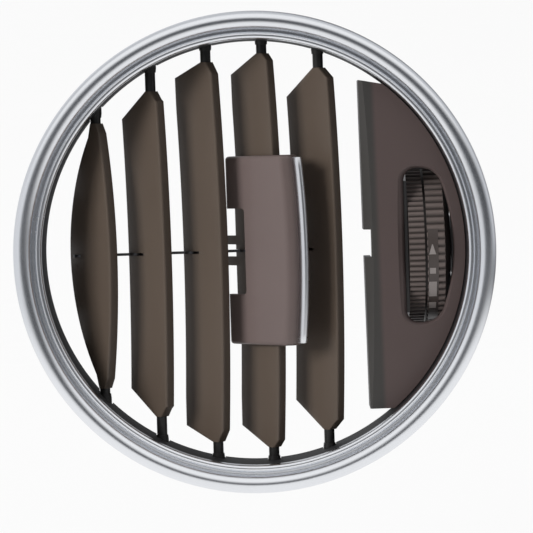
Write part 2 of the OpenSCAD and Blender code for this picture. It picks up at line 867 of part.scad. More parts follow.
module panel_screws() {
    color(steel)
        for (p = screw_places)
            translate([p[0], 0, p[1]])
                rotate([-90, 0, 0]) {
                    translate([0, 0, base_y + base_t - screw_l])
                        cylinder(r = screw_d / 2, h = screw_l + bury, $fn = 32);
                    translate([0, 0, base_y + base_t])
                        cylinder(r1 = screw_head_d / 2, r2 = screw_head_d / 2 - 0.5, h = screw_head_h, $fn = 40);
                }
}

// Toothed sector outline: ribs round the rim, straight across the back
module ribbed_disc(ribs, r) {
    step = 360 / ribs;
    first = ceil((180 - sector_half) / step);
    last = floor((180 + sector_half) / step);
    polygon(concat(
        [for (k = [first : last]) for (q = rib_shape)
            let (a = (k + q[0]) * step, rr = r - rib_h * (1 - q[1])) [rr * cos(a), rr * sin(a)]],
        [[sector_back, 0]]
    ));
}

// Sector of a plain disc, open to the back
module sector(r) {
    polygon(concat(arc(0, 0, r, 180 - sector_half, 180 + sector_half, 60), [[sector_back, 0]]));
}

module rim_ring(x0, x1, r, r_in) {
    plate_x(x0, x1)
        difference() {
            sector(r);
            circle(r = r_in, $fn = 120);
        }
}

module ribbed_band(x0, x1, ribs) {
    plate_x(x0, x1)
        difference() {
            ribbed_disc(ribs, wheel_r);
            circle(r = wheel_r - wheel_rim_t, $fn = 120);
        }
}

module thumbwheel() {
    color(wheel_brown)
        translate([0, wheel_y, 0])
            difference() {
                union() {
                    ribbed_band(wheel_x, groove_x, left_ribs);
                    ribbed_band(right_band_x, wheel_x1, right_ribs);
                    rim_ring(wheel_x, wheel_x1, wheel_r - rib_h - rib_root, wheel_r - wheel_rim_t);
                    rim_ring(wheel_x1 - flange_t, wheel_x1, wheel_r - rib_h - rib_root,
                             wheel_r - shoulder_d - rib_root);
                    plate_x(wheel_x, wheel_x + web_t)
                        union() {
                            sector(wheel_r - wheel_rim_t + rib_root);
                            lever_outline();
                        }
                    rod_x(hub_d / 2, wheel_x, wheel_x1, 0, 0);
                }
                rod_x(axle_d / 2 + run_gap, wheel_x - 1, wheel_x1 + 1, 0, 0);
                rod_x(rod_hole_d / 2, wheel_x - 1, wheel_x + web_t + 1, lever_r, 0);
                mark_pocket(wheel_r + 1, wheel_r - mark_t);
                wheel_shoulder();
            }
}

// Cone that bevels the wheel's right edge
module wheel_shoulder() {
    translate([wheel_x1 - shoulder_w, 0, 0])
        rotate([0, 90, 0])
            rotate_extrude($fn = 120)
                polygon([[wheel_r - 2 * shoulder_d, 2 * shoulder_w], [wheel_r + shoulder_d, -shoulder_w],
                         [wheel_r + shoulder_d, 2 * shoulder_w]]);
}

// Lever behind the hub with the eye for the flap rod
module lever_outline() {
    polygon([[0, -sector_back], [lever_r, -lever_eye_d / 2], [lever_r, lever_eye_d / 2], [0, sector_back]]);
    translate([lever_r, 0])
        circle(r = lever_eye_d / 2, $fn = 48);
}

// Arc-shaped pocket for the mark strip, between two radii
module mark_pocket(r1, r0) {
    plate_x(mark_x, mark_x + mark_w)
        polygon(concat(
            arc(0, 0, r1, 180 - mark_top, 180 - mark_bottom, 26),
            arc(0, 0, r0, 180 - mark_bottom, 180 - mark_top, 26)
        ));
}

module mark_strip() {
    color(wheel_brown)
        translate([0, wheel_y, 0])
            mark_pocket(wheel_r - 0.1, wheel_r - mark_t);
}

bezel_ring();
barrel();
upper_bushes();
lower_bushes();
vane_1();
vane_2();
vane_3();
vane_4();
vane_5();
link_strip();
knob_grip();
knob_fin();
knob_pad();
wheel_panel();
wheel_bracket();
wheel_axle();
spring_washer();
panel_screws();
thumbwheel();
mark_strip();
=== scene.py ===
"""Dresses a round dashboard air vent: its bright ring, linked vanes, knob, side panel and thumbwheel."""
from __future__ import annotations

import json
import logging
import math
from dataclasses import dataclass, field
from enum import Enum
from typing import Callable, Iterable, Sequence

import bmesh
import bpy
from mathutils import Matrix, Vector

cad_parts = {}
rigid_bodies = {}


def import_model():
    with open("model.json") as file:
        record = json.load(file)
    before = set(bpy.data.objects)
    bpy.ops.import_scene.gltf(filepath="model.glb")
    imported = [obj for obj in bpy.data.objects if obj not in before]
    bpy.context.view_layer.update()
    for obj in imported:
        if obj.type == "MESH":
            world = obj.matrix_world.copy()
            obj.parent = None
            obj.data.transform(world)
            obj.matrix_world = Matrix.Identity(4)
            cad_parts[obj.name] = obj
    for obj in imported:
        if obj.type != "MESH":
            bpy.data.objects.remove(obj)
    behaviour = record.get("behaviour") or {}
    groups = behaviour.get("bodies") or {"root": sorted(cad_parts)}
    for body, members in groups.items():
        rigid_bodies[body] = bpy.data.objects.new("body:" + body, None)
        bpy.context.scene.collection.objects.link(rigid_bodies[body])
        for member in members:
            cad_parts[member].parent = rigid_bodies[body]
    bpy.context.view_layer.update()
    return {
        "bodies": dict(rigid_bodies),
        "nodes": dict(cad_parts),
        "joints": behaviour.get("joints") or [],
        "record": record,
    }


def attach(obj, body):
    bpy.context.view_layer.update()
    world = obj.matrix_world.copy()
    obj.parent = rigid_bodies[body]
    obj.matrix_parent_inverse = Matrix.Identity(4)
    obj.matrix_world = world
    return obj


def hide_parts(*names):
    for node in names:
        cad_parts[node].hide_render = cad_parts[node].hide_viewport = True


LOG = logging.getLogger("vent")
MM = 0.001
Point = tuple[float, float, float]
Flat = tuple[float, float]
Colour = tuple[float, float, float]
Piece = bpy.types.Object
Stops = Sequence[tuple[float, Colour]]
PIVOT_Y = 4.0
OPENING_R = 42.5
BARREL_R = 45.6
BUSH_R = 1.7
VANE_X = (-31.3, -20.0, -8.7, 2.6, 13.9)
BLACK: Colour = (0.0, 0.0, 0.0)
WHITE: Colour = (1.0, 1.0, 1.0)
REST_TURN = 45.0
CREASE = 50.0


class Seat(Enum):
    """The bodies of the vent that pieces ride on."""

    HOUSING = "housing"
    VANE_1 = "vane_1"
    VANE_2 = "vane_2"
    VANE_3 = "vane_3"
    VANE_4 = "vane_4"
    VANE_5 = "vane_5"
    KNOB = "knob"
    WHEEL = "wheel"


def linear(red: int, green: int, blue: int) -> Colour:
    """Turns a screen colour from 0 to 255 into a linear one.

    Args:
        red: Red, 0 to 255.
        green: Green, 0 to 255.
        blue: Blue, 0 to 255.

    Returns:
        The three linear channels.
    """
    channels = []
    for value in (red, green, blue):
        share = value / 255
        low = share / 12.92
        high = ((share + 0.055) / 1.055) ** 2.4
        channels.append(low if share <= 0.04045 else high)
    return (channels[0], channels[1], channels[2])


def solid(colour: Colour) -> tuple[float, float, float, float]:
    """A colour with full alpha."""
    return (*colour, 1.0)


def darker(colour: Colour, share: float) -> Colour:
    """A colour with each channel taken down to a share."""
    return (colour[0] * share, colour[1] * share, colour[2] * share)


class Socket:
    """An output socket that takes part in Python expressions."""

    def __init__(self, graph: Graph, link: bpy.types.NodeSocket) -> None:
        """Keeps the graph and the Blender socket."""
        self.graph = graph
        self.link = link

    def _math(self, operation: str, *values: object) -> Socket:
        """Adds one Math node and returns its result."""
        return self.graph.node("ShaderNodeMath", {"operation": operation}, dict(enumerate(values)))

    def __add__(self, other: object) -> Socket:
        """Sum."""
        return self._math("ADD", self, other)

    def __radd__(self, other: object) -> Socket:
        """Sum, reflected."""
        return self._math("ADD", other, self)

    def __sub__(self, other: object) -> Socket:
        """Difference."""
        return self._math("SUBTRACT", self, other)

    def __rsub__(self, other: object) -> Socket:
        """Difference, reflected."""
        return self._math("SUBTRACT", other, self)

    def __mul__(self, other: object) -> Socket:
        """Product."""
        return self._math("MULTIPLY", self, other)

    def __rmul__(self, other: object) -> Socket:
        """Product, reflected."""
        return self._math("MULTIPLY", other, self)


class Graph:
    """Builds the nodes of one material or world."""

    def __init__(self, tree: bpy.types.NodeTree) -> None:
        """Keeps the tree and empties it."""
        self.tree = tree
        tree.nodes.clear()

    def node(self, kind: str, settings: dict[str, object], sockets: dict[str | int, object],
             output: str | int = 0) -> Socket:
        """Adds a node.

        Args:
            kind: The node's type.
            settings: Its settings, set first; "stops" fills a colour ramp.
            sockets: Values or links of its inputs, by name or number.
            output: Name or number of the output to return.

        Returns:
            The chosen output socket.
        """
        made = self.tree.nodes.new(kind)
        for name, value in settings.items():
            if name == "stops":
                self._fill_ramp(made.color_ramp, value)
            else:
                setattr(made, name, value)
        for name, value in sockets.items():
            if isinstance(value, Socket):
                self.tree.links.new(value.link, made.inputs[name])
            else:
                made.inputs[name].default_value = value
        return Socket(self, made.outputs[output]) if made.outputs else Socket(self, made.inputs[0])

    @staticmethod
    def _fill_ramp(ramp: bpy.types.ColorRamp, stops: Stops) -> None:
        """Sets a ramp's stops.

        Args:
            ramp: The new ramp, which has its first and last stop.
            stops: Pairs of place and colour, in rising order of place.
        """
        ends = (ramp.elements[0], ramp.elements[1])
        for element, (place, colour) in zip(ends, (stops[0], stops[-1])):
            element.position = place
            element.color = solid(colour)
        for place, colour in stops[1:-1]:
            ramp.elements.new(place).color = solid(colour)

    def place(self) -> Socket:
        """Place in object space."""
        return self.node("ShaderNodeTexCoord", {}, {}, "Object")

    def along(self, vector: Socket, axis: str) -> Socket:
        """A vector's part along one axis."""
        return self.node("ShaderNodeSeparateXYZ", {}, {"Vector": vector}, axis)

    def vector(self, operation: str, *values: object, output: str = "Vector") -> Socket:
        """Result of one Vector Math node."""
        sockets = dict(enumerate(values))
        return self.node("ShaderNodeVectorMath", {"operation": operation}, sockets, output)

    def seen_by(self, kind: str) -> Socket:
        """Whether the ray is of a kind, such as Camera or Glossy."""
        return self.node("ShaderNodeLightPath", {}, {}, f"Is {kind} Ray")

    def noise(self, scale: float, detail: float, stretch: Point = (1, 1, 1)) -> Socket:
        """Noise in object space.

        Args:
            scale: How fine the noise is.
            detail: How many finer layers it has.
            stretch: Its scale along each axis.

        Returns:
            The noise, from 0 to 1.
        """
        moved = self.node("ShaderNodeMapping", {}, {"Vector": self.place(), "Scale": stretch})
        values = {"Vector": moved, "Scale": scale, "Detail": detail}
        return self.node("ShaderNodeTexNoise", {}, values, "Fac")

    def ramp(self, factor: Socket, stops: Stops) -> Socket:
        """Colour ramp over a factor from 0 to 1."""
        return self.node("ShaderNodeValToRGB", {"stops": stops}, {"Fac": factor}, "Color")

    def mix_colour(self, factor: Socket | float, low: object, high: object) -> Socket:
        """Mixes two colours by a factor."""
        return self.node("ShaderNodeMix", {"data_type": "RGBA"}, {0: factor, 6: low, 7: high}, 2)

    def bump(self, height: Socket, depth: float) -> Socket:
        """Bump normal from a height, with its depth in metres."""
        values = {"Height": height, "Strength": 1.0, "Distance": depth}
        return self.node("ShaderNodeBump", {}, values, "Normal")


@dataclass(frozen=True)
class Finish:
    """What every finish shares: its name and its plain colour."""

    name: str
    colour: Colour

    def make(self) -> bpy.types.Material:
        """Makes the material.

        Returns:
            A node-based material of this finish.
        """
        material = bpy.data.materials.new(self.name)
        material.use_nodes = True
        material.diffuse_color = solid(self.colour)
        graph = Graph(material.node_tree)
        shader = self.shader(graph)
        graph.node("ShaderNodeOutputMaterial", {}, {"Surface": shader})
        return material

    def shader(self, graph: Graph) -> Socket:
        """Plain shader, which each finish replaces by its own."""
        return graph.node("ShaderNodeBsdfPrincipled", {}, {"Base Color": solid(self.colour)})


@dataclass(frozen=True)
class PlatedFinish(Finish):
    """Satin plating with fine marks; behind a set depth the ring's inside is painted dark and matt as
    painted shade.
    """

    roughness: float = 0.2
    marks: float = 0.04
    # Painted shade: behind this depth the plating gives way to a dark matt colour and a higher
    # roughness.
    shade_from: float = 1.0
    inner_shade: Colour = (0.012, 0.012, 0.013)
    shade_rough: float = 0.4
    tint: float = 0.94
    mark_depth: float = 0.000002

    def shader(self, graph: Graph) -> Socket:
        """Metal whose roughness varies a little, and which turns to a painted dark matt shade behind a
        set depth.

        Args:
            graph: The material's graph.

        Returns:
            The shader.
        """
        cloud = graph.noise(60, 2)
        grain = graph.noise(900, 3)
        plated = graph.mix_colour(cloud, solid(self.colour), solid(darker(self.colour, self.tint)))
        # Painted shade on the ring's inside: from the set depth back, a dark matt colour stands in for
        # its shadow.
        depth = graph.along(graph.place(), "Y")
        inner_shade = graph.node("ShaderNodeMath", {"operation": "GREATER_THAN"}, {0: depth, 1: self.shade_from})
        rough = self.roughness + cloud * self.marks + grain * self.marks + inner_shade * self.shade_rough
        return graph.node("ShaderNodeBsdfPrincipled", {}, {
            "Base Color": graph.mix_colour(inner_shade, plated, solid(self.inner_shade)), "Roughness": rough,
            "Metallic": 1.0 - inner_shade, "Normal": graph.bump(grain, self.mark_depth),
        })


@dataclass(frozen=True)
class PaintedFinish(Finish):
    """Soft matt paint over moulded plastic, with a fine grain."""

    roughness: float = 0.45
    grain_scale: float = 2600
    grain_depth: float = 0.00001
    shade: float = 0.86
    cloud_scale: float = 45
    wander: float = 0.08
    specular: float = 0.45

    def tone(self, graph: Graph, cloud: Socket) -> Socket:
        """Base colour with slow tone changes."""
        return graph.mix_colour(cloud, solid(darker(self.colour, self.shade)), solid(self.colour))

    def shader(self, graph: Graph) -> Socket:
        """Paint with slow tone changes and a fine grain.

        Args:
            graph: The material's graph.

        Returns:
            The shader.
        """
        cloud = graph.noise(self.cloud_scale, 3)
        speck = graph.noise(self.grain_scale, 2)
        return graph.node("ShaderNodeBsdfPrincipled", {}, {
            "Base Color": self.tone(graph, cloud),
            "Roughness": self.roughness - self.wander / 2 + cloud * self.wander,
            "Specular IOR Level": self.specular, "Normal": graph.bump(speck, self.grain_depth),
        })


@dataclass(frozen=True)
class RibbedFinish(PaintedFinish):
    """Moulded plastic with painted shade in the grooves between the ribs, so they render darker than
    their crests.
    """

    axis: Point = (0.0, 0.0161, 0.0)
    valley_r: float = 0.01668
    crest_r: float = 0.01698
    # Painted shade: share of the colour left at the groove floors.
    groove_shade: float = 0.28
    specular: float = 0.3
    grain_rough: float = 0.04

    def shader(self, graph: Graph) -> Socket:
        """Painted shade by the distance from the wheel's axis, darkest at the groove floors.

        Args:
            graph: The material's graph.

        Returns:
            The shader.
        """
        off = graph.vector("SUBTRACT", graph.place(), self.axis)
        flat = graph.vector("MULTIPLY", off, (0.0, 1.0, 1.0))
        share = graph.node("ShaderNodeMapRange", {}, {
            "Value": graph.vector("LENGTH", flat, output="Value"),
            "From Min": self.valley_r, "From Max": self.crest_r})
        speck = graph.noise(self.grain_scale, 2)
        # Painted shade: the colour darkens from the crests down to the groove floors.
        groove_shade = solid(darker(self.colour, self.groove_shade))
        return graph.node("ShaderNodeBsdfPrincipled", {}, {
            "Base Color": graph.mix_colour(share, groove_shade, solid(self.colour)),
            "Roughness": self.roughness + speck * self.grain_rough,
            "Specular IOR Level": self.specular, "Normal": graph.bump(speck, self.grain_depth),
        })


@dataclass(frozen=True)
class PanelFinish(PaintedFinish):
    """Soft paint that turns greyer on the panel's bevelled edge, with painted shade that also darkens
    that edge.
    """

    # The edge colour is the paint's greyer tone with painted shade, darker than the face.
    edge: Colour = (0.05, 0.05, 0.05)
    edge_x: float = 0.0243
    face_x: float = 0.0256
    lean: float = 0.012
    specular: float = 0.4

    def tone(self, graph: Graph, cloud: Socket) -> Socket:
        """Tone by the distance from the panel's left edge: greyer paint with painted shade on the bevel.

        Args:
            graph: The material's graph.
            cloud: The slow noise of the paint.

        Returns:
            The base colour.
        """
        place = graph.place()
        across = graph.along(place, "X") + graph.along(place, "Z") * self.lean
        share = graph.node("ShaderNodeMapRange", {"interpolation_type": "SMOOTHSTEP"}, {
            "Value": across, "From Min": self.edge_x, "From Max": self.face_x})
        # Painted shade: the bevel takes the darker, greyer edge colour.
        plain = graph.mix_colour(share, solid(self.edge), solid(self.colour))
        return graph.node("ShaderNodeMix", {"data_type": "RGBA", "blend_type": "MULTIPLY"},
                          {0: cloud, 6: plain, 7: solid(darker(WHITE, self.shade))}, 2)


@dataclass(frozen=True)
class SteelFinish(Finish):
    """Plain steel with fine drawn lines."""

    roughness: float = 0.35
    line_rough: float = 0.12
    line_depth: float = 0.000003
    line_stretch: Point = (0.05, 1, 1)

    def shader(self, graph: Graph) -> Socket:
        """Metal with lines along one way.

        Args:
            graph: The material's graph.

        Returns:
            The shader.
        """
        lines = graph.noise(700, 2, self.line_stretch)
        return graph.node("ShaderNodeBsdfPrincipled", {}, {
            "Base Color": solid(self.colour), "Roughness": self.roughness + lines * self.line_rough,
            "Metallic": 1.0, "Normal": graph.bump(lines, self.line_depth),
        })


FINISHES: dict[str, Finish] = {
    # From 2.4 mm in front of the ring's seat backwards, its inside is painted dark as shade.
    "satin_chrome": PlatedFinish("satin_chrome", linear(236, 238, 242), 0.22, 0.04, -0.0024),
    "bright_trim": PlatedFinish("bright_trim", linear(232, 233, 236), 0.24),
    "dark_plastic": PaintedFinish("dark_plastic", linear(44, 43, 43), 0.5),
    "bush_plastic": PaintedFinish("bush_plastic", linear(34, 33, 32), 0.38),
    "vane_plastic": PaintedFinish("vane_plastic", linear(96, 84, 74), 0.42),
    # The panel's bevel: greyer paint with painted shade.
    "panel_plastic": PanelFinish("panel_plastic", linear(96, 83, 81), 0.46, edge=linear(72, 70, 68)),
    "knob_plastic": PaintedFinish("knob_plastic", linear(118, 104, 101), 0.4),
    "wheel_plastic": RibbedFinish("wheel_plastic", linear(112, 101, 97), 0.4),
    "mark_plastic": PaintedFinish("mark_plastic", linear(78, 70, 67), 0.36),
    "mark_print": PaintedFinish("mark_print", linear(158, 150, 147), 0.5),
    "pad_rubber": PaintedFinish("pad_rubber", linear(30, 30, 30), 0.8),
    "strip_steel": SteelFinish("strip_steel", linear(90, 90, 92), 0.4),
    "plain_steel": SteelFinish("plain_steel", linear(190, 191, 194), 0.3),
}


@dataclass
class Studio:
    """Camera, lamps, world, floor and backdrop."""

    azimuth: float = 0.6
    elevation: float = 2.6
    roll: float = -1.88
    distance: float = 0.460
    focal_px: float = 2293.5
    frame_px: float = 533.0
    centre_px: Flat = (254.7, 252.1)
    floor_z: float = -0.075
    floor_front: float = -1.5
    sweep_y: float = 0.6
    sweep_r: float = 0.4
    wall_top: float = 1.5
    half_width: float = 2.0
    floor_grey: Colour = (0.9, 0.9, 0.9)
    floor_glow: float = 0.93
    left_grey: Colour = (0.78, 0.79, 0.81)
    right_grey: Colour = (0.66, 0.67, 0.69)
    front_left_grey: Colour = (0.11, 0.115, 0.125)
    front_right_grey: Colour = (0.035, 0.037, 0.042)
    ceiling_grey: Colour = (0.6, 0.61, 0.63)
    rear_right_grey: Colour = (0.1, 0.103, 0.11)
    far_right_grey: Colour = (0.42, 0.43, 0.45)
    ambient: float = 0.3

    def camera(self) -> None:
        """Places the camera at the photograph's angle."""
        data = bpy.data.cameras.new("camera")
        data.sensor_width = 36.0
        data.lens = self.focal_px / self.frame_px * data.sensor_width
        half = self.frame_px / 2
        data.shift_x = (half - self.centre_px[0]) / self.frame_px
        data.shift_y = (self.centre_px[1] - half) / self.frame_px
        data.clip_start = 0.01
        data.clip_end = 20
        eye = bpy.data.objects.new("camera", data)
        turn = math.radians(self.azimuth)
        rise = math.radians(self.elevation)
        level = math.cos(rise)
        back = Vector((math.sin(turn) * level, -math.cos(turn) * level, math.sin(rise)))
        eye.location = back * self.distance
        aim = (-back).to_track_quat("-Z", "Y").to_matrix().to_4x4()
        eye.matrix_world = Matrix.Translation(eye.location) @ aim @ Matrix.Rotation(
            math.radians(self.roll), 4, "Z")
        bpy.context.scene.collection.objects.link(eye)
        bpy.context.scene.camera = eye

    def lamp(self, name: str, place: Point, size: float, power: float) -> None:
        """Adds a square soft lamp that faces the vent.

        Args:
            name: The lamp's name.
            place: Where it hangs, in metres.
            size: Its side, in metres.
            power: Its power, in watts.
        """
        data = bpy.data.lights.new(name, "AREA")
        data.size = size
        data.energy = power
        lamp = bpy.data.objects.new(name, data)
        lamp.location = place
        lamp.visible_glossy = False
        lamp.rotation_mode = "QUATERNION"
        lamp.rotation_quaternion = (-Vector(place)).to_track_quat("-Z", "Y")
        bpy.context.scene.collection.objects.link(lamp)

    def room(self, graph: Graph) -> Socket:
        """Tones of the room by the way a ray goes.

        Each place on a ramp runs from 0, at the far left, front or bottom, to 1.

        Args:
            graph: The world's graph.

        Returns:
            The room's colour.
        """
        way = graph.node("ShaderNodeTexCoord", {}, {}, "Generated")
        side, depth, height = (graph.along(way, axis) * 0.5 + 0.5 for axis in "XYZ")
        front = graph.ramp(side, [
            (0.16, self.left_grey), (0.3, self.front_left_grey), (0.85, self.front_right_grey),
            (0.97, self.far_right_grey),
        ])
        sides = graph.ramp(side, [(0.3, self.left_grey), (0.7, self.right_grey)])
        turned = graph.ramp(depth, [(0.36, BLACK), (0.5, WHITE)])
        above = graph.ramp(height, [(0.6, BLACK), (0.76, WHITE)])
        below = graph.ramp(height, [(0.24, WHITE), (0.4, BLACK)])
        behind = graph.ramp(depth, [(0.8, BLACK), (0.97, WHITE)])
        walls = graph.mix_colour(turned, front, sides)
        ceiling = graph.mix_colour(turned, solid(WHITE), solid(self.ceiling_grey))
        walls = graph.mix_colour(above, walls, ceiling)
        walls = graph.mix_colour(below, walls, solid(WHITE))
        return graph.mix_colour(behind, walls, solid(WHITE))

    def world(self) -> None:
        """Soft room light, with a white background for the camera."""
        world = bpy.data.worlds.new("room")
        world.use_nodes = True
        bpy.context.scene.world = world
        graph = Graph(world.node_tree)
        room = self.room(graph)
        dimmed = graph.mix_colour(self.ambient, solid(BLACK), room)
        lit = graph.mix_colour(graph.seen_by("Glossy"), dimmed, room)
        shown = graph.mix_colour(graph.seen_by("Camera"), lit, solid(WHITE))
        light = graph.node("ShaderNodeBackground", {}, {"Color": shown, "Strength": 1.0})
        graph.node("ShaderNodeOutputWorld", {}, {"Surface": light})

    def reflected_floor(self, graph: Graph, mirrored: Socket) -> Socket:
        """Colour of the floor: white near the vent, and in mirrors the room's tones further off.

        Args:
            graph: The floor's graph.
            mirrored: Whether the floor is seen in a mirror.

        Returns:
            The colour of the floor's glow.
        """
        place = graph.place()
        across, ahead = (graph.along(place, axis) * 0.25 + 0.5 for axis in "XY")
        rear = graph.ramp(across, [
            (0.44, self.left_grey), (0.58, self.rear_right_grey), (0.62, self.rear_right_grey),
            (0.7, self.far_right_grey),
        ])
        front = graph.ramp(across, [
            (0.4, self.left_grey), (0.46, self.front_left_grey), (0.6, self.front_right_grey),
            (0.7, self.far_right_grey),
        ])
        turned = graph.ramp(ahead, [(0.44, BLACK), (0.52, WHITE)])
        wall = graph.mix_colour(turned, front, rear)
        reach = graph.vector("LENGTH", place, output="Value")
        far = graph.ramp(reach, [(0.16, BLACK), (0.42, WHITE)])
        return graph.mix_colour(mirrored * far, solid(WHITE), wall)

    def floor(self) -> None:
        """Pale floor that rises into a backdrop behind the vent."""
        points = [(self.floor_front, self.floor_z)]
        points += arc_points((self.sweep_y, self.floor_z + self.sweep_r), self.sweep_r, -90, 0, 10)
        points.append((self.sweep_y + self.sweep_r, self.wall_top))
        verts = [(x, y, z) for y, z in points for x in (-self.half_width, self.half_width)]
        faces = [(2 * k, 2 * k + 1, 2 * k + 3, 2 * k + 2) for k in range(len(points) - 1)]
        sweep = add_mesh("floor", verts, faces)
        material = bpy.data.materials.new("pale_floor")
        material.use_nodes = True
        graph = Graph(material.node_tree)
        matt = graph.node("ShaderNodeBsdfPrincipled", {}, {
            "Base Color": solid(self.floor_grey), "Roughness": 0.7})
        mirrored = graph.seen_by("Glossy")
        shade = self.reflected_floor(graph, mirrored)
        glow = graph.node("ShaderNodeEmission", {}, {"Color": shade, "Strength": 1.0})
        seen = graph.seen_by("Camera") + mirrored
        both = graph.node("ShaderNodeMixShader", {}, {0: seen * self.floor_glow, 1: matt, 2: glow})
        graph.node("ShaderNodeOutputMaterial", {}, {"Surface": both})
        sweep.data.materials.append(material)

    def build(self) -> None:
        """Builds the whole studio."""
        self.camera()
        self.world()
        self.floor()
        self.lamp("key", (-0.72, -0.62, 0.28), 0.36, 6.4)
        self.lamp("rear", (0.1, 0.6, 0.5), 0.5, 1.5)
        bpy.context.scene.view_settings.view_transform = "Standard"


def add_mesh(name: str, verts: Iterable[Point], faces: Iterable[Sequence[int]]) -> Piece:
    """Makes an object from points and faces.

    Args:
        name: The object's name.
        verts: Its points, in metres.
        faces: Its faces, as lists of point numbers.

    Returns:
        The object, linked to the scene.
    """
    data = bpy.data.meshes.new(name)
    data.from_pydata([tuple(v) for v in verts], [], [tuple(f) for f in faces])
    data.update()
    made = bpy.data.objects.new(name, data)
    bpy.context.scene.collection.objects.link(made)
    return made


@dataclass
class Dresser:
    """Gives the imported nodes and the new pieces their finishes."""

    frame: dict[str, object]
    made: dict[str, bpy.types.Material] = field(default_factory=dict)

    def material(self, slot: str) -> bpy.types.Material:
        """The material of a slot, made once.

        Args:
            slot: The slot, or the name of another finish.

        Returns:
            The material.
        """
        if slot not in self.made:
            self.made[slot] = FINISHES[slot].make()
        return self.made[slot]

    def dress_nodes(self) -> None:
        """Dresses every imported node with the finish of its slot."""
        for row in self.frame["record"]["subparts"]:
            node = self.frame["nodes"][row["node"]]
            node.data.materials.clear()
            node.data.materials.append(self.material(row["material_slot"]))

    def dress(self, piece: Piece, slot: str, finish: str = "") -> None:
        """Dresses one new piece and notes its slot.

        Args:
            piece: The new piece.
            slot: Its material slot.
            Dresses one new piece with the finish of its slot.
        """
        piece.data.materials.clear()
        piece.data.materials.append(self.material(finish or slot))


def arc_points(centre: Flat, radius: float, start: float, end: float, steps: int) -> list[Flat]:
    """Points along an arc.

    Args:
        centre: The arc's centre.
        radius: Its radius.
        start: Its first angle, in degrees.
        end: Its last angle, in degrees.
        steps: How many parts it is cut into.

    Returns:
        The points from first to last angle, both included.
    """
    angles = [math.radians(start + (end - start) * step / steps) for step in range(steps + 1)]
    return [(centre[0] + radius * math.cos(a), centre[1] + radius * math.sin(a)) for a in angles]


def spread(low: float, high: float, steps: int) -> list[float]:
    """Evenly spread numbers from low to high, both included."""
    return [low + (high - low) * step / steps for step in range(steps + 1)]


def chord(radius: float, off: float) -> float:
    """Height of a circle at a distance from its middle."""
    return math.sqrt(radius * radius - off * off)


def sag(radius: float, off: float) -> float:
    """How far an arc has bent away at a distance from its middle."""
    return radius - chord(radius, off)


def rounded_box(x0: float, x1: float, y0: float, y1: float, radius: float, steps: int = 6) -> list[Flat]:
    """Corners of a box in a plane, rounded.

    Args:
        x0: Its left side.
        x1: Its right side.
        y0: Its lower side.
        y1: Its upper side.
        radius: Radius of its corners.
        steps: Parts of each corner.

    Returns:
        The outline, turning left.
    """
    points = []
    corners = ((x1, y1, 0), (x0, y1, 90), (x0, y0, 180), (x1, y0, 270))
    for x, y, start in corners:
        centre = (x - math.copysign(radius, x - (x0 + x1) / 2),
                  y - math.copysign(radius, y - (y0 + y1) / 2))
        points += arc_points(centre, radius, start, start + 90, steps)
    return points


